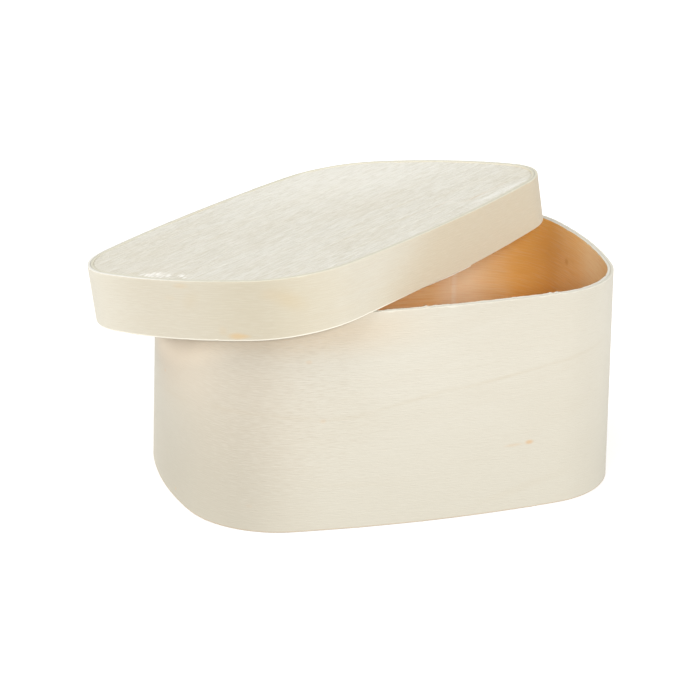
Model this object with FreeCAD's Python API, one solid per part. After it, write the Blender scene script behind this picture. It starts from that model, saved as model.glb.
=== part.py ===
import FreeCAD, Part
import math
import os

Vector = FreeCAD.Vector

# A bentwood chip box with a loose slip-on lid, in millimetres.
# The origin is the middle of the box's underside, +X along its length, +Z up.

# Box: two veneers bent round a bottom board
box_length = 145.0
box_width = 100.0
box_height = 71.0
side_bow = 7.2             # how far a long side swells out past its ends
end_bow = 10.8             # how far a short end swells out past its sides
box_corner_radius = 30.0
foot_spread = 1.2          # the foot stands this much wider than the rim, all round
box_veneer = 0.95
bottom_thickness = 2.0
box_outer_seam = -38.0     # where the outer veneer's ends meet, along the back
box_inner_seam = 42.0      # where the inner veneer's ends meet, along the back

# Lid: two veneers bent round a thin rough-sawn board
lid_clearance = 2.0        # between the box's rim and the inside of the lid, when it is on
lid_corner_radius = 28.5
lid_depth = 17.0           # mean depth of the lid's band
lid_taper = 1.8            # the band is this much deeper at its left end, shallower at its right
lid_arch = 1.05            # the band's lower edge rises this much along the long sides
lid_veneer = 0.95
lid_board_thickness = 1.5
lid_outer_seam = 30.0      # where the outer veneer's ends meet, along the lid's back
lid_inner_seam = 7.0       # where the inner veneer's ends meet, along the lid's front

# Glued joints
glue_line = 0.1            # between glued faces, and between a veneer's two ends
seam_slant = 70.0          # degrees, a veneer's ends are cut slanting and glued together

# The lid as it was put down: turned on the box, leaning on three places of its rim
lid_turn = 35.5            # degrees, anticlockwise from above
corner_room = 8.7          # from the box's back left corner out to the lid's band
corner_reach = 19.7        # from the lid's middle back to that corner, along the lid
rest_gap = 0.3             # at each place where the lid leans on the rim

# Working values
cut_past = 1.0             # a cutting shape reaches this far past what it cuts
seam_walls = 4.0           # a seam's cutting slab is as deep as this many walls
rim_samples = 240          # points along each arc of the rim that the lid may lean on
rim_lines = 5              # lines of such points, from the rim's outer edge to its inner one
rest_rounds = 14           # times that the lid's lean is corrected
first_lean = 0.17          # slope of the lid towards the box's back left corner, before that

box_wall = 2.0 * box_veneer + glue_line
lid_wall = 2.0 * lid_veneer + glue_line
uncut_depth = lid_depth + lid_taper + cut_past    # the lid's band before its lower edge is cut


class Oblong:
    # A rounded oblong of eight tangent arcs: two long sides, two ends and four corners,
    # given by the centre and radius of one of each, with the angles where they meet.
    def __init__(self, side_y, side_radius, end_x, end_radius, corner, corner_radius):
        self.side_y = side_y
        self.side_radius = side_radius
        self.end_x = end_x
        self.end_radius = end_radius
        self.corner = corner
        self.corner_radius = corner_radius
        self.side_angle = math.atan2(corner[1] - side_y, corner[0])
        self.end_angle = math.atan2(corner[1], corner[0] - end_x)
        self.half_length = end_x + end_radius
        self.half_width = side_y + side_radius

    def grown(self, distance):
        # The same arcs, moved out by a distance
        return Oblong(self.side_y, self.side_radius + distance,
                      self.end_x, self.end_radius + distance,
                      self.corner, self.corner_radius + distance)

    def corner_point(self, angle):
        return (self.corner[0] + self.corner_radius * math.cos(angle),
                self.corner[1] + self.corner_radius * math.sin(angle))

    def knots(self):
        # Sixteen points, anticlockwise: the middle of an arc, then its end, and so on
        start = self.corner_point(self.end_angle)
        middle = self.corner_point(0.5 * (self.end_angle + self.side_angle))
        end = self.corner_point(self.side_angle)
        right = [(self.half_length, 0.0), start, middle, end]
        left = [(0.0, self.half_width)] + [(-x, y) for x, y in reversed(right[1:])]
        upper = right + left
        return upper + [(-x, -y) for x, y in upper]

    def arcs(self, z):
        points = [Vector(x, y, z) for x, y in self.knots()]
        count = len(points)
        return [Part.Arc(points[k - 1], points[k], points[(k + 1) % count]) for k in range(0, count, 2)]

    def wire(self, z):
        return Part.Wire([arc.toShape() for arc in self.arcs(z)])

    def samples(self, z, count):
        points = []
        for arc in self.arcs(z):
            points += arc.discretize(count)[:-1]
        return points

    def room(self, x, y):
        # How far a point lies inside the outline, and below zero outside it
        x, y = abs(x), abs(y)
        by_side = math.atan2(y - self.side_y, x) > self.side_angle
        by_end = math.atan2(y, x - self.end_x) < self.end_angle
        from_side = self.side_radius - math.hypot(x, y - self.side_y)
        from_end = self.end_radius - math.hypot(x - self.end_x, y)
        if by_side and by_end:
            return min(from_side, from_end)
        if by_side:
            return from_side
        if by_end:
            return from_end
        return self.corner_radius - math.hypot(x - self.corner[0], y - self.corner[1])


def bow_radius(half_chord, bow):
    return (half_chord ** 2 + bow ** 2) / (2.0 * bow)


def oblong(length, width, corner_radius):
    # The corner's centre is where it can touch both the long side's arc and the end's
    half_length, half_width = length / 2.0, width / 2.0
    side_radius = bow_radius(half_length, side_bow)
    end_radius = bow_radius(half_width, end_bow)
    side_y = half_width - side_radius
    end_x = half_length - end_radius
    reach = side_radius - corner_radius
    end_reach = end_radius - corner_radius
    apart = math.hypot(end_x, side_y)
    along = (reach ** 2 - end_reach ** 2 + apart ** 2) / (2.0 * apart)
    aside = math.sqrt(reach ** 2 - along ** 2)
    toward = (end_x / apart, -side_y / apart)
    corner = (along * toward[0] + aside * toward[1], side_y + along * toward[1] - aside * toward[0])
    return Oblong(side_y, side_radius, end_x, end_radius, corner, corner_radius)


def box_outline(z, inset):
    # The box's outline at a height, moved in from its outer face; its walls lean in to the rim
    spread = foot_spread * (1.0 - z / box_height)
    return oblong(box_length, box_width, box_corner_radius).grown(spread - inset)


def lid_outline(inset):
    # The lid's outline, moved in from its outer face; the band clears the rim all round
    grow = lid_clearance + lid_wall
    return oblong(box_length + 2.0 * grow, box_width + 2.0 * grow, lid_corner_radius).grown(-inset)


def box_block(inset, low, high):
    # A solid with the box's leaning sides, between two heights
    return Part.makeLoft([box_outline(low, inset).wire(low), box_outline(high, inset).wire(high)], True, True)


def lid_block(inset, low, high):
    # A solid with the lid's upright sides; the lid's own frame has its top face at z = 0
    return Part.Face(lid_outline(inset).wire(low)).extrude(Vector(0, 0, high - low))


def seam_cut(seam_x, wall_y, height, low):
    # The slanting gap between a bent veneer's two ends, where it is glued
    deep = seam_walls * max(box_wall, lid_wall)
    slab = Part.makeBox(glue_line, deep, height + 2.0 * cut_past,
                        Vector(-glue_line / 2.0, -deep / 2.0, low - cut_past))
    slab.rotate(Vector(0, 0, 0), Vector(0, 0, 1), seam_slant)
    slab.translate(Vector(seam_x, wall_y, 0))
    return slab


def box_band(inset, seam_x):
    # One veneer of the box's wall, bent into a ring that stands on the table
    outside = box_block(inset, 0.0, box_height)
    inside = box_block(inset + box_veneer, -cut_past, box_height + cut_past)
    middle_y = box_outline(box_height / 2.0, inset + box_veneer / 2.0).half_width
    return outside.cut(inside).cut(seam_cut(seam_x, middle_y, box_height, 0.0))


def bottom_board():
    # The board between the walls at the foot, flush with their lower edges
    return box_block(box_wall + glue_line, 0.0, bottom_thickness)


def band_depth(x):
    # Depth of the lid's band at a place along the lid
    share = x / lid_outline(0.0).half_length
    return lid_depth - lid_arch * (1.0 - share ** 2) - lid_taper * share


def below_band():
    # Everything under the band's lower edge, which is one long shallow arc
    reach = lid_outline(-cut_past).half_length
    across = 2.0 * lid_outline(-cut_past).half_width
    bottom = -uncut_depth - cut_past
    edge = [Vector(x, -across / 2.0, -band_depth(x)) for x in (-reach, 0.0, reach)]
    low_right = Vector(reach, -across / 2.0, bottom)
    low_left = Vector(-reach, -across / 2.0, bottom)
    outline = Part.Wire([Part.Arc(*edge).toShape(),
                         Part.makeLine(edge[2], low_right),
                         Part.makeLine(low_right, low_left),
                         Part.makeLine(low_left, edge[0])])
    return Part.Face(outline).extrude(Vector(0, across, 0))


def lid_band(inset, seam_x, side):
    # One veneer of the lid's band, bent into a ring round the lid's board
    ring = lid_block(inset, -uncut_depth, 0.0)
    ring = ring.cut(lid_block(inset + lid_veneer, -uncut_depth - cut_past, cut_past))
    middle_y = side * lid_outline(inset + lid_veneer / 2.0).half_width
    return ring.cut(below_band()).cut(seam_cut(seam_x, middle_y, uncut_depth, -uncut_depth))


def lid_board():
    # The thin rough-sawn board inside the band, flush with its top edge
    return lid_block(lid_wall + glue_line, -lid_board_thickness, 0.0)


def lid_headings():
    # The lid's length and width directions, seen from above
    turn = math.radians(lid_turn)
    return Vector(math.cos(turn), math.sin(turn), 0), Vector(-math.sin(turn), math.cos(turn), 0)


def lid_placement(centre, normal):
    # The lid's frame: +Z along its top face's normal, +X along its length
    along = lid_headings()[0]
    along = along - normal * along.dot(normal)
    along.normalize()
    turn = FreeCAD.Rotation(along, normal.cross(along), normal, "ZXY")
    return FreeCAD.Placement(centre, turn)


def lid_centre():
    # The middle of the lid in plan, from the box's back left corner
    rim = box_outline(box_height, 0.0)
    along, across = lid_headings()
    corner = Vector(-rim.corner[0], rim.corner[1], 0) + across * rim.corner_radius
    return corner - across * (lid_outline(lid_wall).half_width - corner_room) + along * corner_reach


def lid_supports(place, rim_points):
    # For each of the three places where the lid can lean, the rim point with the least air
    # above it: the band over the front wall, the band over the right corner, and the board
    inner, outer = lid_outline(lid_wall), lid_outline(0.0)
    back = place.inverse()
    least = {}
    for point in rim_points:
        local = back.multVec(point)
        if inner.room(local.x, local.y) > 0.0:
            where, air = "board", -lid_board_thickness - local.z
        elif outer.room(local.x, local.y) > 0.0:
            where = "front" if point.y < 0.0 else "right"
            air = -band_depth(local.x) - local.z
        else:
            continue
        if where not in least or air < least[where][1]:
            least[where] = (point, air)
    return [least[where] for where in ("front", "right", "board")]


def resting_lid():
    # Lower the lid onto the rim: three points of the rim carry it, and its lean follows from them
    rim_points = []
    for line in range(rim_lines):
        inset = box_wall * line / (rim_lines - 1)
        rim_points += box_outline(box_height, inset).samples(box_height, rim_samples)
    plan = lid_centre()
    normal = Vector(0, 0, 1) + lid_headings()[1] * first_lean
    normal.normalize()
    centre = Vector(plan.x, plan.y, box_height + lid_depth / 2.0)
    for _ in range(rest_rounds):
        place = lid_placement(centre, normal)
        raised = []
        for point, air in lid_supports(place, rim_points):
            level = centre.z - (normal.x * (point.x - centre.x) + normal.y * (point.y - centre.y)) / normal.z
            raised.append(Vector(point.x, point.y, level + (rest_gap - air) / normal.z))
        normal = (raised[1] - raised[0]).cross(raised[2] - raised[0])
        normal.normalize()
        drop = (normal.x * (plan.x - raised[0].x) + normal.y * (plan.y - raised[0].y)) / normal.z
        centre = Vector(plan.x, plan.y, raised[0].z - drop)
    return lid_placement(centre, normal)


def build():
    box_parts = {
        "box_outer_band": box_band(0.0, box_outer_seam),
        "box_inner_band": box_band(box_veneer + glue_line, box_inner_seam),
        "box_bottom_board": bottom_board(),
    }
    lid_parts = {
        "lid_outer_band": lid_band(0.0, lid_outer_seam, 1.0),
        "lid_inner_band": lid_band(lid_veneer + glue_line, lid_inner_seam, -1.0),
        "lid_top_board": lid_board(),
    }
    place = resting_lid()
    for shape in lid_parts.values():
        shape.Placement = place
    return box_parts, lid_parts, place


def main():
    os.makedirs("parts", exist_ok=True)
    box_parts, lid_parts, place = build()
    for name, shape in {**box_parts, **lid_parts}.items():
        shape.exportStep("parts/" + name + ".step")
        box = shape.BoundBox
        print("%-18s solids %d valid %s volume %.1f  x %.2f..%.2f  y %.2f..%.2f  z %.2f..%.2f" % (
            name, len(shape.Solids), shape.isValid(), shape.Volume,
            box.XMin, box.XMax, box.YMin, box.YMax, box.ZMin, box.ZMax))
    normal = place.Rotation.multVec(Vector(0, 0, 1))
    print("lid centre", [round(c, 3) for c in place.Base], "normal", [round(c, 4) for c in normal])
    for lid_name, lid_shape in lid_parts.items():
        for box_name, box_shape in box_parts.items():
            print("%s to %s: %.2f mm" % (lid_name, box_name, lid_shape.distToShape(box_shape)[0]))


main()
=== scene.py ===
import math

import bpy
import numpy as np
from mathutils import Matrix, Vector


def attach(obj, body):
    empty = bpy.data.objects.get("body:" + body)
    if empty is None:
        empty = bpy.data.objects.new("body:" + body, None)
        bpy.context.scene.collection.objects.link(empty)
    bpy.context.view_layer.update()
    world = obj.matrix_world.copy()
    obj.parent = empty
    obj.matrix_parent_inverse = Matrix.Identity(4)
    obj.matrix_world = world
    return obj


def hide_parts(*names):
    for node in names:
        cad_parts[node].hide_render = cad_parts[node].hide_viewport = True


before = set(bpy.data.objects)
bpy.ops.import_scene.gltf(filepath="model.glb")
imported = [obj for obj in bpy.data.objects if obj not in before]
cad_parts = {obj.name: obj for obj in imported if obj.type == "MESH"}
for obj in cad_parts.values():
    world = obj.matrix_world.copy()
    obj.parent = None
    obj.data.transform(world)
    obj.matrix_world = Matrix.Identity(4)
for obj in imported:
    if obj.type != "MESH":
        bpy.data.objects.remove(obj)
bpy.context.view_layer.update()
print("frame loaded:", sorted(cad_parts))

# Lengths are millimetres until a mesh is made, which is in metres.
metre = 0.001
creaseAngle = math.radians(40.0)    # sharper edges than this are not shaded round

# The bent outline that box and lid share: long sides and ends swell out, corners are round
bend = {
    "sideBow": 7.2,
    "endBow": 10.8,
    "glueLine": 0.02,         # hardly any glue shows, so the veneers fill the solids' gap
    "seamSlant": 70.0,        # degrees, how the ends of a veneer are cut
    "slantReach": 9.0,        # the rows of points stand upright again this far from a seam
    "ragReach": 2.5,          # a ragged edge shows in the wall this far from it
    "glueReach": 0.3,         # glue colours a cut edge this far from the joint
    "stationStep": 0.5,       # between two rows of points round a veneer
    "wave": 0.07,             # the veneers are never quite even
    "waveLength": 38.0,
    "waveSeed": 11,
}


noiseColumns, noiseRows = 251, 257


def softNoise(x, y, seed, columns=noiseColumns):
    # smooth random values from -1 to 1, one cell to the unit; x comes round after so many columns
    table = np.random.default_rng(seed).uniform(-1.0, 1.0, (columns, noiseRows))
    column, row = np.floor(x).astype(int), np.floor(y).astype(int)
    fx, fy = x - column, y - row
    fx, fy = fx * fx * (3.0 - 2.0 * fx), fy * fy * (3.0 - 2.0 * fy)
    c0, c1 = column % columns, (column + 1) % columns
    r0, r1 = row % noiseRows, (row + 1) % noiseRows
    low = table[c0, r0] * (1.0 - fx) + table[c1, r0] * fx
    high = table[c0, r1] * (1.0 - fx) + table[c1, r1] * fx
    return low * (1.0 - fy) + high * fy


def smoothStep(low, high, value):
    share = np.clip((value - low) / (high - low), 0.0, 1.0)
    return share * share * (3.0 - 2.0 * share)


def bowRadius(halfChord, bow):
    return (halfChord ** 2 + bow ** 2) / (2.0 * bow)


def oblongArcs(length, width, cornerRadius):
    # eight tangent arcs, anticlockwise from the right end: centre, radius, first and last angle
    halfLength, halfWidth = length / 2.0, width / 2.0
    sideRadius = bowRadius(halfLength, bend["sideBow"])
    endRadius = bowRadius(halfWidth, bend["endBow"])
    sideY, endX = halfWidth - sideRadius, halfLength - endRadius
    reach, endReach = sideRadius - cornerRadius, endRadius - cornerRadius
    apart = math.hypot(endX, sideY)
    along = (reach ** 2 - endReach ** 2 + apart ** 2) / (2.0 * apart)
    aside = math.sqrt(reach ** 2 - along ** 2)
    cornerX = along * endX / apart - aside * sideY / apart
    cornerY = sideY - along * sideY / apart - aside * endX / apart
    endAngle = math.atan2(cornerY, cornerX - endX)
    sideAngle = math.atan2(cornerY - sideY, cornerX)
    halfTurn, wholeTurn = math.pi, 2.0 * math.pi
    return [
        (endX, 0.0, endRadius, -endAngle, endAngle),
        (cornerX, cornerY, cornerRadius, endAngle, sideAngle),
        (0.0, sideY, sideRadius, sideAngle, halfTurn - sideAngle),
        (-cornerX, cornerY, cornerRadius, halfTurn - sideAngle, halfTurn - endAngle),
        (-endX, 0.0, endRadius, halfTurn - endAngle, halfTurn + endAngle),
        (-cornerX, -cornerY, cornerRadius, halfTurn + endAngle, halfTurn + sideAngle),
        (0.0, -sideY, sideRadius, halfTurn + sideAngle, wholeTurn - sideAngle),
        (cornerX, -cornerY, cornerRadius, wholeTurn - sideAngle, wholeTurn - endAngle),
    ]


def arcStarts(arcs):
    lengths = [radius * (last - first) for _, _, radius, first, last in arcs]
    return np.concatenate([[0.0], np.cumsum(lengths)])


def seamPlace(arcs, seamX, seamSide):
    # distance round the outline of a seam in the back (1) or front (-1) long side
    index = 2 if seamSide > 0 else 6
    cx, cy, radius, first, last = arcs[index]
    angle = math.acos(seamX / radius) if seamSide > 0 else 2.0 * math.pi - math.acos(seamX / radius)
    return arcStarts(arcs)[index] + radius * (angle - first)


def walkRound(arcs, seamAt, step):
    # stations round the outline from the seam back to it: centre, radius, angle, distance
    starts = arcStarts(arcs)
    whole = starts[-1]
    count = int(round(whole / step)) + 1
    gone = np.linspace(0.0, whole, count)
    gone[0] += bend["glueLine"] / 2.0
    gone[-1] -= bend["glueLine"] / 2.0
    place = (seamAt + gone) % whole
    which = np.clip(np.searchsorted(starts, place, side="right") - 1, 0, 7)
    table = np.array(arcs)[which]
    turn = table[:, 3] + (place - starts[which]) / table[:, 2]
    return table[:, 0], table[:, 1], table[:, 2], turn, gone, whole


def makeObject(name, points, faces, attributes, material):
    mesh = bpy.data.meshes.new(name)
    mesh.from_pydata((points * metre).tolist(), [], faces)
    for label, values in attributes.items():
        values = np.asarray(values, dtype=np.float32)
        kind, field = ("FLOAT_VECTOR", "vector") if values.ndim == 2 else ("FLOAT", "value")
        mesh.attributes.new(label, kind, "POINT").data.foreach_set(field, values.ravel())
    mesh.polygons.foreach_set("use_smooth", [True] * len(mesh.polygons))
    mesh.materials.append(material)
    mesh.validate()
    mesh.set_sharp_from_angle(angle=creaseAngle)
    mesh.update()
    made = bpy.data.objects.new(name, mesh)
    bpy.context.collection.objects.link(made)
    return made


def bandProfile(thick, rounding, rows, crowding, footLine):
    # once round a veneer's cut section: share of its height, depth into it, height over that
    # share, and what a point belongs to: 0 outer face, 1 top edge, 2 inner face, 3 lower edge.
    # One row of points lies close above the foot, where the cut edge's colour ends
    quarter = [math.radians(a) for a in (0.0, 30.0, 60.0, 90.0)]
    rise = np.linspace(0.0, 1.0, rows)
    rise = np.insert(1.0 - (1.0 - rise) ** crowding, 1, footLine)
    section = []
    for share in rise:
        section.append((share, 0.0, 0.0, 0))
    for a in quarter[1:]:
        section.append((1.0, rounding * (1.0 - math.cos(a)), rounding * math.sin(a), 1))
    for share in (0.33, 0.67):
        section.append((1.0, rounding + share * (thick - 2.0 * rounding), rounding, 1))
    for a in quarter[:0:-1]:
        section.append((1.0, thick - rounding * (1.0 - math.cos(a)), rounding * math.sin(a), 1))
    for share in rise[::-1]:
        section.append((share, thick, 0.0, 2))
    for a in quarter[1:]:
        section.append((0.0, thick - rounding * (1.0 - math.cos(a)), -rounding * math.sin(a), 3))
    section.append((0.0, thick / 2.0, -rounding, 3))
    for a in quarter[:0:-1]:
        section.append((0.0, rounding * (1.0 - math.cos(a)), -rounding * math.sin(a), 3))
    return section


def bentVeneer(name, veneer, rough, material):
    # One veneer bent into a ring. Its two ends are cut slanting and meet at the seam,
    # where the last end's foot hangs lower if it was bent askew.
    arcs, inset, thick = veneer["arcs"], veneer["inset"], veneer["thick"]
    seamX, seamSide = veneer["seam"]
    seamAt = seamPlace(arcs, seamX, seamSide)
    cx, cy, radius, turn, gone, whole = walkRound(arcs, seamAt, bend["stationStep"])
    waves = int(round(whole / bend["waveLength"]))
    rounding = rough["rounding"]
    section = bandProfile(thick, rounding, rough["rows"], rough["crowding"], rough["footLine"])
    slant = math.tan(math.radians(bend["seamSlant"])) * (1.0 if seamSide > 0 else -1.0)
    fromEnd = np.minimum(gone, whole - gone)
    shear = 1.0 - smoothStep(0.0, bend["slantReach"], fromEnd)
    baseX, baseY = cx + radius * np.cos(turn), cy + radius * np.sin(turn)
    low, high = veneer["lowAt"](baseX, baseY), veneer["high"]
    if "askew" in veneer:
        drop, first, last = veneer["askew"]
        low = low - drop * smoothStep(first, last, gone / whole)
    points, grain, edge, glue = [], [], [], []
    for share, deep, up, kind in section:
        offset = shear * (deep - thick / 2.0) * slant
        angle = turn + offset / radius
        z = (low + rounding) + share * (high - low - 2.0 * rounding) + up
        s = seamAt + gone + offset
        if share > 0.5:
            near = smoothStep(high - bend["ragReach"], high - rounding, z)
            z = z + raggedEdge(s, deep + inset, rough["top"]) * near
        else:
            near = smoothStep(low + bend["ragReach"], low + rounding, z)
            z = z - raggedEdge(s, deep + inset, rough["foot"]) * near
        unevenness = softNoise(s / whole * waves, z / bend["waveLength"], bend["waveSeed"], waves)
        out = radius + veneer["leanAt"](z) - inset - deep + bend["wave"] * unevenness
        points.append(np.stack([cx + out * np.cos(angle), cy + out * np.sin(angle), z], axis=-1))
        grain.append(np.stack([s, z, np.full_like(z, inset + deep)], axis=-1))
        atFoot = kind == 3 or (kind == 0 and share == 0.0)
        edge.append(np.full_like(z, 1.0 if kind == 1 else -1.0 if atFoot else 0.0))
        toGlue = (thick - deep) if inset == 0.0 else deep
        glueHere = 1.0 - min(1.0, toGlue / bend["glueReach"]) if kind in (1, 3) else 0.0
        glue.append(np.full_like(z, glueHere))
    points = np.stack(points, axis=1)
    stations, ring = points.shape[:2]
    points = points.reshape(-1, 3)
    if "place" in veneer:
        points = points @ veneer["place"][0].T + veneer["place"][1]
    faces = []
    for k in range(stations - 1):
        base, following = k * ring, (k + 1) * ring
        for j in range(ring):
            i = (j + 1) % ring
            faces.append((base + j, following + j, following + i, base + i))
    faces.append(tuple(range(ring)))
    faces.append(tuple((stations - 1) * ring + j for j in reversed(range(ring))))
    attributes = {
        "grainPlace": np.stack(grain, axis=1).reshape(-1, 3),
        "cutEdge": np.stack(edge, axis=1).ravel(),
        "glueShare": np.stack(glue, axis=1).ravel(),
    }
    made = makeObject(name, points, faces, attributes, material)
    print(name, "points", len(points), "round", round(whole, 1), "mm")
    return made


ragged = {
    "waveLength": 23.0, "fuzzLength": 1.1,
    "nickLength": 2.3, "nickSpan": (0.62, 0.95),
    "teeth": 9.0,             # radians a millimetre, the tips along a splinter
}


def raggedEdge(s, deep, look):
    # how far a sawn edge stands over its even line: slow waves, fine fuzz and a few splinters
    row = s * 0.0 + deep
    height = look["wave"] * softNoise(s / ragged["waveLength"], row, look["seed"])
    height = height + look["fuzz"] * softNoise(s / ragged["fuzzLength"], row * 3.0, look["seed"] + 1)
    torn = softNoise(s / ragged["nickLength"], row * 2.0, look["seed"] + 2)
    height = height - look["nick"] * smoothStep(*ragged["nickSpan"], torn)
    for where, wide, tall in look["splinters"]:
        near = np.clip(1.0 - np.abs(s - where) / wide, 0.0, 1.0)
        height = height + tall * near * (0.7 + 0.3 * np.sin(s * ragged["teeth"]))
    return height


# Wood

def newFinish(name):
    material = bpy.data.materials.new(name)
    material.use_nodes = True
    nodes = material.node_tree.nodes
    nodes.clear()
    output = nodes.new("ShaderNodeOutputMaterial")
    shader = nodes.new("ShaderNodeBsdfPrincipled")
    material.node_tree.links.new(shader.outputs["BSDF"], output.inputs["Surface"])
    return material, material.node_tree, shader


def grainNoise(tree, place, scale, detail, seed, distortion=0.0):
    # noise stretched along the grain; scale is the cell in mm: along, up, into the wood
    stretch = tree.nodes.new("ShaderNodeVectorMath")
    stretch.operation = "MULTIPLY_ADD"
    stretch.inputs[1].default_value = [1.0 / cell for cell in scale]
    stretch.inputs[2].default_value = (seed * 3.7, seed * 1.9, seed * 5.3)    # elsewhere in the noise
    tree.links.new(place, stretch.inputs[0])
    noise = tree.nodes.new("ShaderNodeTexNoise")
    noise.inputs["Scale"].default_value = 1.0
    noise.inputs["Detail"].default_value = detail
    noise.inputs["Roughness"].default_value = 0.6
    noise.inputs["Distortion"].default_value = distortion
    tree.links.new(stretch.outputs[0], noise.inputs["Vector"])
    return noise.outputs[0]


def between(tree, value, low, high, toLow=0.0, toHigh=1.0):
    step = tree.nodes.new("ShaderNodeMapRange")
    step.interpolation_type = "SMOOTHSTEP"
    step.inputs["From Min"].default_value = low
    step.inputs["From Max"].default_value = high
    step.inputs["To Min"].default_value = toLow
    step.inputs["To Max"].default_value = toHigh
    tree.links.new(value, step.inputs["Value"])
    return step.outputs[0]


def mathNode(tree, operation, a, b):
    node = tree.nodes.new("ShaderNodeMath")
    node.operation = operation
    for socket, value in zip(node.inputs, (a, b)):
        if isinstance(value, (int, float)):
            socket.default_value = value
        else:
            tree.links.new(value, socket)
    return node.outputs[0]


def tint(tree, share, under, over):
    # lay one colour over another by a share from 0 to 1
    mix = tree.nodes.new("ShaderNodeMix")
    mix.data_type = "RGBA"
    for socket, value in ((mix.inputs[0], share), (mix.inputs[6], under), (mix.inputs[7], over)):
        if isinstance(value, (tuple, list)):
            socket.default_value = (*value, 1.0)
        elif isinstance(value, float):
            socket.default_value = value
        else:
            tree.links.new(value, socket)
    return mix.outputs[2]


def readPlace(tree, name="grainPlace", output="Vector"):
    node = tree.nodes.new("ShaderNodeAttribute")
    node.attribute_name = name
    return node.outputs[output]


def spotShare(tree, place, spot, core=0.15, lean=0.0, rise=0.0):
    # a soft oval spot: along, up, its half length and half height. It is full in its core,
    # leans so far along for each mm up, and rises so far for each mm along
    along, up, halfLong, halfTall = spot[:4]
    join = tree.nodes.new("ShaderNodeCombineXYZ")
    acrossSpot = (1.0 / halfLong, -lean / halfLong)
    upSpot = (-rise / halfTall, 1.0 / halfTall)
    for weights, socket in ((acrossSpot, "X"), (upSpot, "Y")):
        measure = tree.nodes.new("ShaderNodeVectorMath")
        measure.operation = "DOT_PRODUCT"
        measure.inputs[1].default_value = (*weights, 0.0)
        tree.links.new(place, measure.inputs[0])
        middle = along * weights[0] + up * weights[1]
        fromMiddle = mathNode(tree, "SUBTRACT", measure.outputs["Value"], middle)
        tree.links.new(fromMiddle, join.inputs[socket])
    away = tree.nodes.new("ShaderNodeVectorMath")
    away.operation = "LENGTH"
    tree.links.new(join.outputs[0], away.inputs[0])
    return between(tree, away.outputs["Value"], core, 1.0, 1.0, 0.0)


def layZones(tree, place, zones, colour):
    for zone in zones:
        lean, rise = zone.get("lean", 0.0), zone.get("rise", 0.0)
        share = spotShare(tree, place, zone["at"], zone["core"], lean, rise)
        colour = tint(tree, mathNode(tree, "MULTIPLY", share, zone["share"]), colour, zone["colour"])
    return colour


# between which values of its noise each mark of the wood sets in
noiseSpan = {
    "cloud": (0.35, 0.68), "streak": (0.42, 0.75), "fibre": (0.50, 0.80), "band": (0.50, 0.70),
    "dash": (0.53, 0.62), "lightDash": (0.47, 0.38), "roughness": (0.30, 0.80),
}
roughnessChange = (-0.06, 0.08)    # between the fibres and on them


def layMark(tree, noise, mark, look, colour):
    share = between(tree, noise, *noiseSpan[mark], 0.0, look[mark + "Share"])
    return tint(tree, share, colour, look[mark])


def layBands(tree, place, look, colour):
    # growth bands of the peeled log, slanting slowly across the veneer
    lean = tree.nodes.new("ShaderNodeVectorMath")
    lean.operation = "DOT_PRODUCT"
    lean.inputs[1].default_value = (-look["bandRise"], 1.0, 0.0)
    tree.links.new(place, lean.inputs[0])
    split = tree.nodes.new("ShaderNodeSeparateXYZ")
    tree.links.new(place, split.inputs[0])
    join = tree.nodes.new("ShaderNodeCombineXYZ")
    tree.links.new(split.outputs["X"], join.inputs["X"])
    tree.links.new(lean.outputs["Value"], join.inputs["Y"])
    bands = grainNoise(tree, join.outputs[0], look["bandCell"], 1.5, look["seed"] + 3, 0.6)
    return layMark(tree, bands, "band", look, colour)


def layDashes(tree, place, dashes, look, colour):
    # short crisp dashes where the knife or saw cut across the fibres, dark ones and light ones
    share = look["dashShare"]
    if "dashSpot" in look:
        spot = spotShare(tree, place, look["dashSpot"])
        share = between(tree, spot, 0.0, 1.0, look["dashShare"], look["dashMost"])
    for mark in ("dash", "lightDash"):
        here = mathNode(tree, "MULTIPLY", between(tree, dashes, *noiseSpan[mark]), share)
        colour = tint(tree, here, colour, look[mark])
    return colour


def layCutEdges(tree, place, look, colour):
    # the veneer's cut edges, and the line of glue where two of them lie together
    edge = readPlace(tree, "cutEdge", "Fac")
    edgeColour = layZones(tree, place, look.get("edgeZones", ()), look["edge"])
    footColour = layZones(tree, place, look.get("footZones", ()), look["foot"])
    colour = tint(tree, between(tree, edge, 0.0, 1.0, 0.0, look["edgeShare"]), colour, edgeColour)
    colour = tint(tree, between(tree, edge, 0.0, -1.0, 0.0, look["footShare"]), colour, footColour)
    glue = readPlace(tree, "glueShare", "Fac")
    return tint(tree, between(tree, glue, 0.1, 0.9, 0.0, look["glueShare"]), colour, look["glue"])


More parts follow.
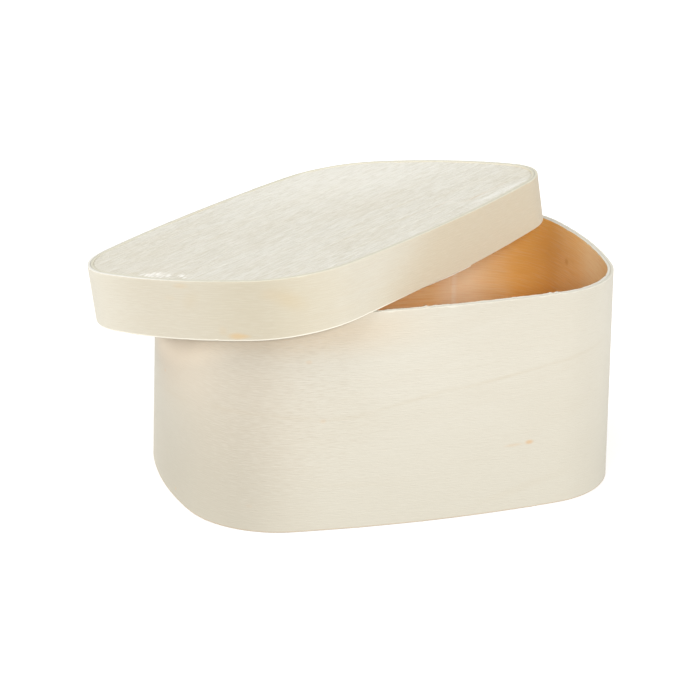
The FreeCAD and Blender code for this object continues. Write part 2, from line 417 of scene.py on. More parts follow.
def woodFinish(name, look):
    material, tree, shader = newFinish(name)
    place = readPlace(tree)
    fibres = grainNoise(tree, place, look["fibreCell"], 3.0, look["seed"])
    streaks = grainNoise(tree, place, look["streakCell"], 2.0, look["seed"] + 1)
    clouds = grainNoise(tree, place, look["cloudCell"], 2.0, look["seed"] + 2)
    dashes = grainNoise(tree, place, look["dashCell"], 1.0, look["seed"] + 4)
    colour = tint(tree, between(tree, clouds, *noiseSpan["cloud"]), look["pale"], look["warm"])
    colour = layMark(tree, streaks, "streak", look, colour)
    colour = layMark(tree, fibres, "fibre", look, colour)
    if "bandCell" in look:
        colour = layBands(tree, place, look, colour)
    # soft zones: the wood's own tone, and on some pieces painted light and painted shade
    colour = layZones(tree, place, look.get("zones", ()), colour)
    colour = layDashes(tree, place, dashes, look, colour)
    for knot in look["knots"]:
        share = mathNode(tree, "MULTIPLY", spotShare(tree, place, knot), knot[4])
        colour = tint(tree, share, colour, look["knot"])
    colour = layCutEdges(tree, place, look, colour)
    tree.links.new(colour, shader.inputs["Base Color"])
    smooth, coarse = (look["roughness"] + change for change in roughnessChange)
    roughness = between(tree, fibres, *noiseSpan["roughness"], smooth, coarse)
    tree.links.new(roughness, shader.inputs["Roughness"])
    shader.inputs["Specular IOR Level"].default_value = look["gloss"]
    raised = mathNode(tree, "ADD", fibres, mathNode(tree, "MULTIPLY", streaks, 0.5))
    relief = mathNode(tree, "SUBTRACT", raised, dashes)
    bump = tree.nodes.new("ShaderNodeBump")
    bump.inputs["Strength"].default_value = look["reliefShare"]
    bump.inputs["Distance"].default_value = look["relief"] * metre
    tree.links.new(relief, bump.inputs["Height"])
    tree.links.new(bump.outputs["Normal"], shader.inputs["Normal"])
    return material


# Box

boxShape = {
    "length": 145.0, "width": 100.0, "height": 71.0, "cornerRadius": 30.0,
    "footSpread": 1.2,         # the foot stands wider than the rim
    "veneer": 0.99,
    "outerSeam": -38.0, "innerSeam": 42.0,    # how far along, both in the back side
    "bottomThick": 2.0, "bottomRoom": 0.05,
}
boxArcs = oblongArcs(boxShape["length"], boxShape["width"], boxShape["cornerRadius"])


def boxLean(z):
    return boxShape["footSpread"] * (1.0 - z / boxShape["height"])


def markAt(arcs, seamX, seamSide, x, y):
    # distance along a veneer, from its seam on, of the place nearest to a point
    best = None
    starts = arcStarts(arcs)
    for (cx, cy, radius, first, last), start in zip(arcs, starts):
        angle = math.atan2(y - cy, x - cx)
        angle = first + (angle - first + math.pi) % (2.0 * math.pi) - math.pi
        angle = min(max(angle, first), last)
        away = math.hypot(cx + radius * math.cos(angle) - x, cy + radius * math.sin(angle) - y)
        if best is None or away < best[0]:
            best = (away, start + radius * (angle - first))
    seamAt = seamPlace(arcs, seamX, seamSide)
    return seamAt + (best[1] - seamAt) % starts[-1]


def onOuter(x, y):
    return markAt(boxArcs, boxShape["outerSeam"], 1.0, x, y)


def onInner(x, y):
    return markAt(boxArcs, boxShape["innerSeam"], 1.0, x, y)


# one growth line of the log, seen all along the front, and two fainter ones: where it is
# (x, y, up), how far it runs, how wide it is, how it rises and how strong it is
growthLines = [
    (-71.5, -10.0, 34.6, 23.0, 1.5, 0.15, 0.10),
    (-60.0, -40.0, 39.2, 17.0, 1.5, 0.00, 0.14),
    (-44.0, -47.5, 38.0, 15.0, 1.2, -0.12, 0.10),
    (-27.0, -49.0, 37.2, 15.0, 1.2, 0.04, 0.13),
    (-6.0, -50.0, 41.3, 22.0, 1.1, 0.20, 0.14),
    (24.0, -49.3, 45.6, 24.0, 1.0, 0.14, 0.20),
    (50.0, -46.0, 49.4, 20.0, 1.1, 0.15, 0.12),
    (30.0, -49.0, 7.0, 24.0, 2.2, 0.22, 0.08),
    (-26.0, -49.0, 14.6, 22.0, 1.4, -0.05, 0.06),
]
growthZones = [
    {"at": (onOuter(x, y), up, halfLong, halfTall), "core": 0.0, "share": share, "rise": rise,
     "colour": (0.540, 0.440, 0.290)}
    for x, y, up, halfLong, halfTall, rise, share in growthLines]
boxOuterLook = {
    "seed": 3,
    "pale": (0.690, 0.652, 0.556), "warm": (0.672, 0.630, 0.530),
    "streak": (0.630, 0.567, 0.457), "streakShare": 0.12,
    "fibre": (0.570, 0.503, 0.395), "fibreShare": 0.30,
    "dashCell": (3.4, 0.28, 0.35), "dash": (0.540, 0.470, 0.370), "lightDash": (0.700, 0.655, 0.560),
    "dashShare": 0.06, "dashSpot": (onOuter(-49.0, -46.0), 44.0, 44.0, 60.0), "dashMost": 0.28,
    "band": (0.630, 0.558, 0.438), "bandShare": 0.12,
    "fibreCell": (5.0, 0.26, 0.35), "streakCell": (30.0, 1.2, 2.0), "cloudCell": (55.0, 30.0, 30.0),
    "bandCell": (160.0, 9.0, 9.0), "bandRise": 0.30,
    "zones": [
        {"at": (onOuter(-63.0, -37.5), 38.0, 34.0, 140.0), "core": 0.25, "share": 0.80,
         "colour": (0.590, 0.524, 0.422)},
        # painted light: a warm peach tint on the upper left end under the lid, in place of the lid's
        # grey shade
        {"at": (onOuter(-72.0, -6.0), 56.0, 36.0, 36.0), "core": 0.20, "share": 0.85,
         "colour": (0.725, 0.615, 0.475)},
        # painted shade: the left end darker towards the foot
        {"at": (onOuter(-71.0, -15.0), -4.0, 62.0, 60.0), "core": 0.0, "share": 0.95,
         "colour": (0.405, 0.360, 0.278)},
        # painted light: the right end paler, where it turns away from the lamps
        {"at": (onOuter(66.0, -33.0), 30.0, 22.0, 140.0), "core": 0.1, "share": 0.80,
         "colour": (0.760, 0.720, 0.615)},
        # painted shade: the whole wall darker towards the foot
        {"at": (onOuter(0.0, -50.0), -14.0, 500.0, 80.0), "core": 0.0, "share": 0.70,
         "colour": (0.590, 0.552, 0.452)},
        # painted shade: a warm darker band just under the lid's lower edge, where the lid shades the
        # wall
        {"at": (onOuter(-40.0, -47.5), 66.0, 50.0, 12.0), "core": 0.1, "share": 0.60,
         "colour": (0.700, 0.560, 0.390)},
        # painted light: a sloping strip under the lid's shadow line on the left end, made lighter
        {"at": (onOuter(-71.2, -15.0), 55.0, 46.0, 11.0), "core": 0.2, "share": 0.90, "rise": 0.31,
         "colour": (0.840, 0.720, 0.560)},
    ] + growthZones,
    "knot": (0.660, 0.430, 0.230),
    "knots": [
        (onOuter(33.5, -48.5), 22.5, 2.1, 1.1, 0.75),
        (onOuter(28.0, -49.0), 22.2, 4.6, 0.8, 0.25),
        (onOuter(-35.2, -48.3), 36.5, 1.5, 1.0, 0.22),
        (onOuter(-39.8, -47.8), 56.2, 1.6, 0.9, 0.25),
        (onOuter(-72.5, 0.0), 39.2, 0.9, 0.8, 0.50),
        (onOuter(-71.8, -12.6), 3.2, 1.0, 0.8, 0.35),
        (onOuter(-56.8, -43.0), 8.4, 1.6, 0.9, 0.10),
        (onOuter(20.0, 48.6), 51.0, 1.4, 0.9, 0.60),
        (onOuter(71.0, 18.0), 30.0, 1.2, 0.8, 0.50),
    ],
    "edge": (0.690, 0.665, 0.575), "edgeShare": 0.8, "foot": (0.640, 0.500, 0.350), "footShare": 0.6,
    "glue": (0.540, 0.530, 0.460), "glueShare": 0.65,
    "roughness": 0.58, "gloss": 0.30, "relief": 0.10, "reliefShare": 0.6,
}
boxInnerLook = {
    "seed": 17,
    "pale": (0.970, 0.700, 0.360), "warm": (0.960, 0.650, 0.300),
    "streak": (0.890, 0.530, 0.200), "streakShare": 0.45,
    "fibre": (0.820, 0.450, 0.160), "fibreShare": 0.50,
    "dashCell": (9.0, 0.36, 0.35), "dash": (0.820, 0.450, 0.160), "lightDash": (1.000, 0.800, 0.540),
    "dashShare": 0.17,
    "fibreCell": (7.0, 0.30, 0.35), "streakCell": (38.0, 1.2, 2.0), "cloudCell": (50.0, 26.0, 30.0),
    "zones": [
        # painted highlight: these two wide pale zones round the lining's seam
        {"at": (onInner(42.5, 45.5), 40.0, 15.0, 120.0), "core": 0.20, "share": 0.85,
         "colour": (0.975, 0.790, 0.530)},
        {"at": (onInner(41.5, 45.7), 40.0, 9.0, 120.0), "core": 0.10, "share": 0.75,
         "colour": (0.975, 0.790, 0.540)},
        {"at": (onInner(42.1, 45.6), 40.0, 1.4, 120.0), "core": 0.10, "share": 0.55,
         "colour": (1.000, 0.880, 0.680)},
        {"at": (onInner(41.9, 45.6), 40.0, 1.0, 120.0), "core": 0.10, "share": 0.60,
         "colour": (1.000, 0.860, 0.640)},
        {"at": (onInner(66.5, 29.0), 52.0, 21.0, 60.0), "core": 0.35, "share": 1.0,
         "colour": (0.965, 0.545, 0.140)},
        {"at": (onInner(70.0, 8.0), 52.0, 22.0, 60.0), "core": 0.20, "share": 0.75,
         "colour": (0.990, 0.610, 0.220)},
        # painted light: the inside of the right end near the rim made lighter, where the lamps hardly
        # reach
        {"at": (onInner(70.0, -8.0), 67.0, 19.0, 22.0), "core": 0.10, "share": 0.80,
         "colour": (1.000, 0.750, 0.420)},
    ],
    "knot": (0.720, 0.340, 0.090), "knots": [
        (onInner(69.8, 13.1), 59.6, 1.9, 1.7, 0.50), (onInner(69.9, 9.0), 57.0, 3.5, 1.0, 0.12)],
    "edge": (0.680, 0.655, 0.570), "edgeShare": 1.0, "foot": (0.700, 0.560, 0.380), "footShare": 0.6,
    "glue": (0.540, 0.530, 0.460), "glueShare": 0.65,
    "roughness": 0.55, "gloss": 0.30, "relief": 0.10, "reliefShare": 0.6,
}
boxRough = {
    "rounding": 0.14, "rows": 30, "crowding": 1.6, "footLine": 0.006,
    "top": {"seed": 41, "wave": 0.10, "fuzz": 0.07, "nick": 0.30, "splinters": [
        (onOuter(-2.5, -49.5), 1.2, 0.45), (onOuter(0.5, -49.5), 0.8, 0.40),
        (onOuter(4.0, -49.5), 1.4, 0.30), (onOuter(39.5, -47.8), 1.0, 0.40),
        (onOuter(42.2, -47.2), 1.3, 0.35), (onOuter(27.0, -49.0), 0.9, 0.2)]},
    "foot": {"seed": 47, "wave": 0.0, "fuzz": 0.03, "nick": -0.15, "splinters": []},
}


def flatLow(x, y):
    return np.zeros_like(x)


boxVeneer = {
    "arcs": boxArcs, "thick": boxShape["veneer"],
    "lowAt": flatLow, "high": boxShape["height"], "leanAt": boxLean,
}
boxOuterVeneer = {**boxVeneer, "seam": (boxShape["outerSeam"], 1.0), "inset": 0.0}
boxInnerVeneer = {**boxVeneer, "seam": (boxShape["innerSeam"], 1.0),
                  "inset": boxShape["veneer"] + bend["glueLine"]}
boxOuter = bentVeneer("boxOuterVeneer", boxOuterVeneer, boxRough,
                      woodFinish("boxOuterWood", boxOuterLook))
boxInner = bentVeneer("boxInnerVeneer", boxInnerVeneer, boxRough,
                      woodFinish("boxInnerWood", boxInnerLook))


sawn = {
    "rounding": 0.12, "roundReach": 0.5,    # how far down and in a board's top edge is rounded off
    "paleReach": 0.7,                       # how far in its paler edge shows
    "hair": 1.00002,                        # how much farther out the outermost rows lie
    "rowSpread": 0.86,                      # how much the points crowd at a row's ends
    "underMarks": [(0.02, 9.0, 1.5, 77)],
}


def furrows(x, y, marks):
    # marks of a saw along x: height, length, width and seed
    deep = 0.0
    for tall, long, wide, seed in marks:
        deep = deep + tall * softNoise(x / long, y / wide, seed)
    return deep


def boardRows(arcs, inset, rows, across):
    # rows along the board from front to back, each from its left end to its right end
    quarterTurn = math.pi / 2.0
    sideY, sideRadius = arcs[2][1], arcs[2][2] - inset
    endX, endRadius = arcs[0][0], arcs[0][2] - inset
    cornerX, cornerY, cornerRadius = arcs[1][0], arcs[1][1], arcs[1][2] - inset
    halfWidth = sideY + sideRadius
    y = halfWidth * np.sin(np.linspace(-quarterTurn, quarterTurn, rows))
    # the outermost rows would shrink to points, so they lie only a hair beyond their neighbours
    y[0], y[-1] = y[1] * sawn["hair"], y[-2] * sawn["hair"]
    up = np.abs(y)
    fromEnd = endX + np.sqrt(np.maximum(endRadius ** 2 - up ** 2, 0.0))
    fromSide = np.sqrt(np.maximum(sideRadius ** 2 - (up - sideY) ** 2, 0.0))
    fromCorner = cornerX + np.sqrt(np.maximum(cornerRadius ** 2 - (up - cornerY) ** 2, 0.0))
    endTop = endRadius * math.sin(arcs[1][3])
    sideLow = sideY + sideRadius * math.sin(arcs[1][4])
    reach = np.where(up < endTop, fromEnd, np.where(up < sideLow, fromCorner, fromSide))
    spread = np.sin(np.linspace(-quarterTurn, quarterTurn, across) * sawn["rowSpread"])
    share = spread / math.sin(quarterTurn * sawn["rowSpread"])
    x = reach[:, None] * share[None, :]
    return x, np.repeat(y[:, None], across, axis=1), reach, halfWidth


def sawnBoard(name, board, relief, material):
    # A thin sawn board: its top follows the saw's furrows, its sides go straight down
    rows, across, topZ = board["rows"], board["across"], board["topZ"]
    x, y, reach, halfWidth = boardRows(board["arcs"], board["inset"], rows, across)
    fromEdge = np.minimum(reach[:, None] - np.abs(x), halfWidth - np.abs(y))
    roundedOff = sawn["rounding"] * (1.0 - smoothStep(0.0, sawn["roundReach"], fromEdge))
    topHeight = topZ + relief(x, y) - roundedOff
    underHeight = np.full_like(x, topZ - board["thick"]) + furrows(x, y, sawn["underMarks"])
    points = np.concatenate([
        np.stack([x, y, height], axis=-1).reshape(-1, 3) for height in (topHeight, underHeight)])
    size = rows * across
    faces = []
    for r in range(rows - 1):
        for c in range(across - 1):
            a = r * across + c
            faces.append((a, a + 1, a + across + 1, a + across))
            b = a + size
            faces.append((b, b + across, b + across + 1, b + 1))
    loop = list(range(across))
    loop += [r * across + across - 1 for r in range(1, rows)]
    loop += [(rows - 1) * across + c for c in range(across - 2, -1, -1)]
    loop += [r * across for r in range(rows - 2, 0, -1)]
    for k, a in enumerate(loop):
        b = loop[(k + 1) % len(loop)]
        faces.append((b, a, a + size, b + size))
    edge = (1.0 - smoothStep(0.0, sawn["paleReach"], fromEdge)).ravel()
    attributes = {
        "grainPlace": points,
        "cutEdge": np.concatenate([edge, np.zeros(size)]),
        "glueShare": np.zeros(2 * size),
    }
    if "place" in board:
        points = points @ board["place"][0].T + board["place"][1]
    made = makeObject(name, points, faces, attributes, material)
    print(name, "points", len(points))
    return made


bottomLook = {
    "seed": 29,
    "pale": (0.900, 0.640, 0.330), "warm": (0.880, 0.600, 0.280),
    "streak": (0.780, 0.500, 0.220), "streakShare": 0.4,
    "fibre": (0.720, 0.450, 0.190), "fibreShare": 0.4,
    "fibreCell": (14.0, 0.5, 0.5), "streakCell": (60.0, 2.4, 2.4), "cloudCell": (70.0, 22.0, 22.0),
    "dashCell": (6.0, 0.40, 0.4), "dash": (0.720, 0.450, 0.190), "lightDash": (0.960, 0.720, 0.420),
    "dashShare": 0.30,
    "knot": (0.330, 0.140, 0.050), "knots": [(-22.0, 9.0, 3.4, 2.2, 0.6)],
    "edge": (0.600, 0.450, 0.300), "edgeShare": 0.5, "foot": (0.600, 0.450, 0.300), "footShare": 0.0,
    "glue": (0.430, 0.430, 0.400), "glueShare": 0.0,
    "roughness": 0.65, "gloss": 0.25, "relief": 0.15, "reliefShare": 0.6,
}


bottomMarks = [(0.05, 14.0, 1.1, 61)]
bottomSunk = 0.05    # so no furrow stands over the board's full thickness


def bottomRelief(x, y):
    return furrows(x, y, bottomMarks) - bottomSunk


boxWall = 2.0 * boxShape["veneer"] + bend["glueLine"]
bottomBoard = {
    "arcs": boxArcs, "rows": 90, "across": 90,
    "inset": boxWall + bend["glueLine"] - boxShape["footSpread"] + boxShape["bottomRoom"],
    "topZ": boxShape["bottomThick"], "thick": boxShape["bottomThick"],
}
boxBottom = sawnBoard("boxBottomBoard", bottomBoard, bottomRelief,
                      woodFinish("bottomBoardWood", bottomLook))

# Lid, as it was put down: turned on the box and leaning on its rim

lidShape = {
    "clearance": 2.0, "cornerRadius": 28.5,
    "depth": 17.0, "taper": 1.8, "arch": 1.05,
    "sag": 0.75,                     # how much lower the lower edge hangs at the front right
    "sagAlong": (-0.35, 0.1),        # where that sets in along the lid, in half lengths
    "sagAcross": (-16.0, -42.0),     # and across it, in mm
    "askew": (0.75, 0.90, 0.985),    # how low the inner veneer's last end hangs, and from where on
    "veneer": 0.99, "boardThick": 1.5, "boardSunk": 0.2,
    "outerSeam": 30.0, "innerSeam": 7.0,    # how far along, in the back side and in the front side
    "centre": (-17.0362, 18.1454, 81.0065),
    "lengthAxis": (0.811013, 0.584382, 0.027506),
    "widthAxis": (-0.572069, 0.802011, -0.171803),
    "upAxis": (-0.122458, 0.123599, 0.984747),
}
lidWall = 2.0 * lidShape["veneer"] + bend["glueLine"]
lidGrow = lidShape["clearance"] + lidWall
lidArcs = oblongArcs(boxShape["length"] + 2.0 * lidGrow, boxShape["width"] + 2.0 * lidGrow,
                     lidShape["cornerRadius"])
lidPlace = (np.array([lidShape["lengthAxis"], lidShape["widthAxis"], lidShape["upAxis"]]).T,
            np.array(lidShape["centre"]))
lidHalfLength = boxShape["length"] / 2.0 + lidGrow


def lidLow(x, y):
    share = x / lidHalfLength
    arch, taper = lidShape["arch"] * (1.0 - share ** 2), lidShape["taper"] * share
    sag = lidShape["sag"] * smoothStep(*lidShape["sagAlong"], share)
    sag = sag * smoothStep(*lidShape["sagAcross"], y)
    return -(lidShape["depth"] - arch - taper + sag)


def upright(z):
    return z * 0.0


def onLid(x, y):
    return markAt(lidArcs, lidShape["outerSeam"], 1.0, x, y)


lidBandLook = {
    "seed": 53,
    "pale": (0.675, 0.635, 0.530), "warm": (0.664, 0.614, 0.500),
    "streak": (0.640, 0.555, 0.425), "streakShare": 0.25,
    "fibre": (0.580, 0.495, 0.370), "fibreShare": 0.34,
    "dashCell": (4.5, 0.32, 0.35), "dash": (0.560, 0.480, 0.370), "lightDash": (0.780, 0.745, 0.660),
    "dashShare": 0.09,
    "fibreCell": (5.0, 0.26, 0.35), "streakCell": (36.0, 1.2, 2.0), "cloudCell": (60.0, 16.0, 30.0),
    "zones": [
        # painted sheen: the band paler round its back left corner, where it is seen edge-on
        {"at": (onLid(-66.0, 43.0), -9.0, 40.0, 80.0), "core": 0.15, "share": 1.0,
         "colour": (0.715, 0.672, 0.560)},
        {"at": (onLid(-76.0, -2.0), -9.0, 40.0, 80.0), "core": 0.10, "share": 0.80,
         "colour": (0.620, 0.565, 0.450)},
        {"at": (onLid(-71.0, -35.0), -9.0, 34.0, 60.0), "core": 0.15, "share": 0.80,
         "colour": (0.585, 0.522, 0.390)},
        {"at": (onLid(22.0, -53.0), -8.0, 66.0, 400.0), "core": 0.50, "share": 1.0, "lean": 1.2,
         "colour": (0.625, 0.548, 0.408)},
        {"at": (onLid(-68.5, -40.0), -6.5, 7.0, 6.0), "core": 0.0, "share": 0.50, "lean": -0.8,
         "colour": (0.610, 0.500, 0.320)},
        {"at": (onLid(-76.2, -8.0), -6.0, 5.0, 5.0), "core": 0.0, "share": 0.30, "lean": 0.5,
         "colour": (0.620, 0.520, 0.360)},
    ],
    "edgeZones": [
        {"at": (onLid(-20.0, 54.0), 0.0, 120.0, 20.0), "core": 0.60, "share": 1.0,
         "colour": (0.780, 0.760, 0.690)}],
    "footZones": [
        {"at": (onLid(22.0, -53.0), -16.0, 66.0, 40.0), "core": 0.60, "share": 1.0, "lean": 1.2,
         "colour": (0.690, 0.620, 0.480)}],
    "knot": (0.680, 0.460, 0.220),
    "knots": [
        (onLid(-74.6, -23.2), -17.2, 4.4, 1.6, 0.60),
        (onLid(-73.6, -26.0), -17.2, 3.0, 0.9, 0.35),
        (onLid(-75.3, -18.5), -15.6, 2.2, 2.4, 0.14),
        (onLid(-76.4, -5.1), -1.6, 4.4, 1.2, 0.20),
        (onLid(-76.5, -0.2), -5.6, 3.4, 1.2, 0.08),
        (onLid(-71.0, -34.5), -4.6, 4.0, 2.6, 0.08),
    ],
    # the near white foot: the lower cut edge's own paler tone, painted lighter still as a bright
    # highlight line along the lid's lower edge
    "edge": (0.655, 0.628, 0.505), "edgeShare": 0.9, "foot": (0.960, 0.910, 0.780), "footShare": 1.0,
    "glue": (0.500, 0.490, 0.440), "glueShare": 0.7,
    "roughness": 0.55, "gloss": 0.30, "relief": 0.08, "reliefShare": 0.6,
}
lidRough = {
    "rounding": 0.18, "rows": 18, "crowding": 1.2, "footLine": 0.022,
    "top": {"seed": 71, "wave": 0.04, "fuzz": 0.03, "nick": 0.15, "splinters": []},
    "foot": {"seed": 73, "wave": 0.03, "fuzz": 0.03, "nick": 0.10, "splinters": []},
}
lidBandWood = woodFinish("lidBandWood", lidBandLook)
lidVeneer = {
    "arcs": lidArcs, "thick": lidShape["veneer"], "place": lidPlace,
    "lowAt": lidLow, "high": 0.0, "leanAt": upright,
}
lidOuterVeneer = {**lidVeneer, "seam": (lidShape["outerSeam"], 1.0), "inset": 0.0}
lidInnerVeneer = {**lidVeneer, "seam": (lidShape["innerSeam"], -1.0), "askew": lidShape["askew"],
                  "inset": lidShape["veneer"] + bend["glueLine"]}
lidOuter = bentVeneer("lidOuterVeneer", lidOuterVeneer, lidRough, lidBandWood)
lidInner = bentVeneer("lidInnerVeneer", lidInnerVeneer, lidRough, lidBandWood)

boardLook = {
    "seed": 83,
    "pale": (0.725, 0.706, 0.630), "warm": (0.697, 0.664, 0.570),
    "streak": (0.600, 0.550, 0.430), "streakShare": 0.38,
    "fibre": (0.540, 0.500, 0.410), "fibreShare": 0.50,
    "fibreCell": (7.0, 0.30, 0.4), "streakCell": (20.0, 0.8, 1.8), "cloudCell": (80.0, 26.0, 26.0),
    "dashCell": (4.6, 0.36, 0.4), "dash": (0.560, 0.520, 0.410), "lightDash": (0.820, 0.805, 0.740),
    "dashShare": 0.36,
    "zones": [
        # painted highlight: the board paler towards its back right
        {"at": (62.0, 24.0, 84.0, 60.0), "core": 0.10, "share": 0.65, "colour": (0.820, 0.800, 0.725)},
        {"at": (38.0, -47.5, 26.0, 2.6), "core": 0.10, "share": 0.70, "colour": (0.830, 0.820, 0.760)},
        {"at": (31.0, -42.8, 12.0, 1.1), "core": 0.0, "share": 0.55, "colour": (0.640, 0.530, 0.400)},
        {"at": (45.0, -42.0, 9.0, 0.9), "core": 0.0, "share": 0.40, "colour": (0.650, 0.550, 0.430)},
        {"at": (40.0, -9.5, 22.0, 0.5), "core": 0.0, "share": 0.55, "colour": (0.570, 0.520, 0.360)},
        {"at": (17.0, -21.5, 20.0, 0.7), "core": 0.0, "share": 0.50, "colour": (0.600, 0.540, 0.400)},
        {"at": (2.0, -34.0, 26.0, 0.8), "core": 0.0, "share": 0.45, "colour": (0.610, 0.545, 0.400)},
        {"at": (20.0, -36.0, 18.0, 1.0), "core": 0.0, "share": 0.40, "colour": (0.640, 0.560, 0.440)},
        {"at": (-20.0, -30.0, 24.0, 0.8), "core": 0.0, "share": 0.35, "colour": (0.610, 0.545, 0.400)},
        {"at": (-73.9, 12.8, 1.6, 0.9), "core": 0.0, "share": 0.70, "colour": (0.640, 0.500, 0.330)},
        {"at": (-71.5, 18.0, 3.0, 4.0), "core": 0.0, "share": 0.30, "colour": (0.590, 0.540, 0.370)},
        {"at": (-12.0, 47.3, 1.2, 0.4), "core": 0.0, "share": 0.80, "colour": (0.900, 0.890, 0.850)},
        {"at": (-30.0, 41.0, 1.4, 0.4), "core": 0.0, "share": 0.60, "colour": (0.880, 0.870, 0.820)},
    ],
    "knot": (0.900, 0.880, 0.820), "knots": [    # torn fibres stand white in the chip
        (-71.4, 12.6, 1.9, 0.8, 1.0), (-70.8, 11.2, 2.4, 1.1, 1.0), (-72.2, 10.3, 2.0, 0.8, 1.0),
        (-69.6, 9.2, 1.7, 0.6, 0.8), (-71.2, 7.9, 2.0, 0.9, 1.0), (-73.6, 5.6, 2.0, 0.8, 1.0),
        (-71.6, 5.9, 1.6, 0.6, 0.8), (-71.4, 3.8, 2.0, 0.8, 1.0), (-73.0, 2.0, 1.7, 0.5, 0.7),
        (-69.8, 0.2, 2.4, 0.6, 0.9), (-70.4, -1.0, 2.0, 0.7, 1.0), (-69.0, -2.4, 1.8, 0.5, 0.7),
        (-71.9, -3.2, 1.6, 0.5, 0.8), (-71.0, 9.0, 4.0, 4.5, 0.35), (-71.6, 14.4, 2.2, 0.9, 0.6),
        (-69.2, 11.6, 1.6, 0.6, 0.6), (-73.2, 8.6, 1.6, 0.7, 0.7), (-70.0, 5.0, 1.8, 0.7, 0.7)],
    "edge": (0.650, 0.622, 0.510), "edgeShare": 0.6, "foot": (0.650, 0.622, 0.510), "footShare": 0.0,
    "glue": (0.430, 0.430, 0.400), "glueShare": 0.0,
    "roughness": 0.72, "gloss": 0.20, "relief": 0.22, "reliefShare": 0.8,
}


lidMarks = [(0.09, 26.0, 0.9, 91), (0.05, 7.0, 0.45, 92), (0.06, 60.0, 4.0, 93)]
lidTear = {    # where the board's surface is torn, in mm from the middle, and how
    "at": (-71.6, 4.6), "alongReach": (3.2, 0.8), "acrossReach": (11.5, 8.5),
    "marks": [(0.28, 2.2, 0.5, 94)], "sunk": 0.12,
}


def lidRelief(x, y):
    # saw furrows along the board, and the torn place by its left end
    alongShare = smoothStep(*lidTear["alongReach"], np.abs(x - lidTear["at"][0]))
    acrossShare = smoothStep(*lidTear["acrossReach"], np.abs(y - lidTear["at"][1]))
    torn = furrows(x, y, lidTear["marks"]) - lidTear["sunk"]
    return furrows(x, y, lidMarks) + alongShare * acrossShare * torn


topBoard = {
    "arcs": lidArcs, "rows": 300, "across": 260, "place": lidPlace,
    "inset": lidWall + bend["glueLine"],
    "topZ": -lidShape["boardSunk"], "thick": lidShape["boardThick"] - lidShape["boardSunk"],
}
lidBoard = sawnBoard("lidTopBoard", topBoard, lidRelief, woodFinish("lidBoardWood", boardLook))

for piece, node, body, slotName in (
        (boxOuter, "box_outer_band", "box", "box_veneer"),
        (boxInner, "box_inner_band", "box", "lining_veneer"),
        (boxBottom, "box_bottom_board", "box", "bottom_board"),
        (lidOuter, "lid_outer_band", "lid", "lid_veneer"),
        (lidInner, "lid_inner_band", "lid", "lid_veneer"),
        (lidBoard, "lid_top_board", "lid", "lid_board")):
    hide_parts(node)
    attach(piece, body)
print("six pieces made")

# Floor, light and camera

studio = {
    "floorSize": 12.0, "floorSunk": 0.0002,    # in metres, a little under the box's foot
    "floorColour": (0.95, 0.95, 0.945), "floorGlow": 0.2,
    "skyStrength": 0.54, "lampAway": 2.0,
    "diffuseBounces": 12, "mostBounces": 16,    # light goes on from wall to wall inside the box
    "lamps": [    # name, azimuth and elevation seen from the box, how wide it looks, strength
        ("frontLight", -14.0, 21.0, 10.0, 1.50),
        ("rightLight", 50.0, 25.0, 25.0, 0.95),
        ("leftLight", -122.0, 6.0, 24.0, 1.55),
        ("topLight", -62.0, 56.0, 50.0, 1.10),
    ],
}


def makeFloor():
    half, low = studio["floorSize"] / 2.0, -studio["floorSunk"]
    mesh = bpy.data.meshes.new("floor")
    corners = [(-half, -half, low), (half, -half, low), (half, half, low), (-half, half, low)]
    mesh.from_pydata(corners, [], [(0, 1, 2, 3)])
    material, tree, shader = newFinish("floorPaper")
    shader.inputs["Base Color"].default_value = (*studio["floorColour"], 1.0)
    shader.inputs["Roughness"].default_value = 0.9
    shader.inputs["Specular IOR Level"].default_value = 0.1
    shader.inputs["Emission Color"].default_value = (1.0, 1.0, 1.0, 1.0)
    shader.inputs["Emission Strength"].default_value = studio["floorGlow"]
    mesh.materials.append(material)
    floor = bpy.data.objects.new("floor", mesh)
    bpy.context.collection.objects.link(floor)
    floor.visible_diffuse = False    # so big a white floor would light the walls more than the lamps


def fromBox(azimuth, elevation):
    # the direction in which something lies, seen from the box
    a, e = math.radians(azimuth), math.radians(elevation)
    return Vector((math.sin(a) * math.cos(e), -math.cos(a) * math.cos(e), math.sin(e)))


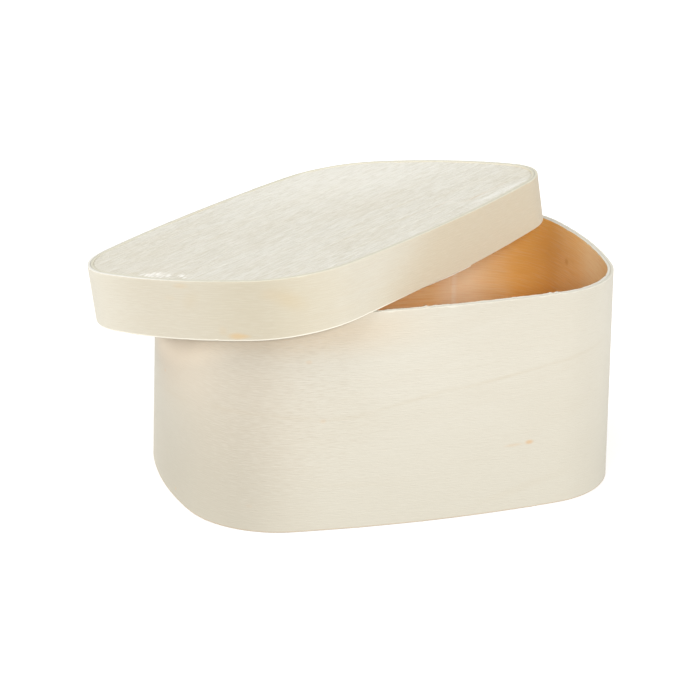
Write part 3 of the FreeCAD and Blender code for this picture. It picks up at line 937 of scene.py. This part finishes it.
def makeLight():
    world = bpy.data.worlds.new("studioLight")
    bpy.context.scene.world = world
    world.use_nodes = True
    background = world.node_tree.nodes["Background"]
    background.inputs["Color"].default_value = (1.0, 1.0, 1.0, 1.0)
    background.inputs["Strength"].default_value = studio["skyStrength"]
    for name, azimuth, elevation, wide, strength in studio["lamps"]:
        lamp = bpy.data.lights.new(name, "SUN")
        lamp.angle = math.radians(wide)
        lamp.energy = strength
        holder = bpy.data.objects.new(name, lamp)
        bpy.context.collection.objects.link(holder)
        holder.location = fromBox(azimuth, elevation) * studio["lampAway"]
        holder.rotation_euler = (-holder.location).to_track_quat("-Z", "Y").to_euler()


cameraView = {
    "azimuth": -18.2584, "elevation": 20.3594, "roll": 1.2278,
    "distance": 6.02357, "aside": -0.07105, "above": 0.25151,    # in box lengths
    "focalPixels": 2614.47, "imagePixels": 700.0, "sensor": 36.0,
    "clip": (0.05, 50.0),
}


def makeCamera():
    unit = boxShape["length"] * metre
    azimuth, roll = math.radians(cameraView["azimuth"]), math.radians(cameraView["roll"])
    back = fromBox(cameraView["azimuth"], cameraView["elevation"])
    right = Vector((math.cos(azimuth), math.sin(azimuth), 0.0))
    up = back.cross(right)
    at = right * cameraView["aside"] + up * cameraView["above"] + back * cameraView["distance"]
    rolledRight = right * math.cos(roll) + up * math.sin(roll)
    rolledUp = up * math.cos(roll) - right * math.sin(roll)
    lens = bpy.data.cameras.new("camera")
    lens.sensor_width = cameraView["sensor"]
    lens.lens = cameraView["focalPixels"] / cameraView["imagePixels"] * cameraView["sensor"]
    camera = bpy.data.objects.new("camera", lens)
    bpy.context.collection.objects.link(camera)
    turn = Matrix((rolledRight, rolledUp, back)).transposed().to_4x4()
    camera.matrix_world = Matrix.Translation(at * unit) @ turn
    lens.clip_start, lens.clip_end = cameraView["clip"]
    bpy.context.scene.camera = camera


makeFloor()
makeLight()
makeCamera()
bpy.context.scene.view_settings.view_transform = "Standard"
bpy.context.scene.cycles.diffuse_bounces = studio["diffuseBounces"]
bpy.context.scene.cycles.max_bounces = studio["mostBounces"]
print("floor, light and camera made")
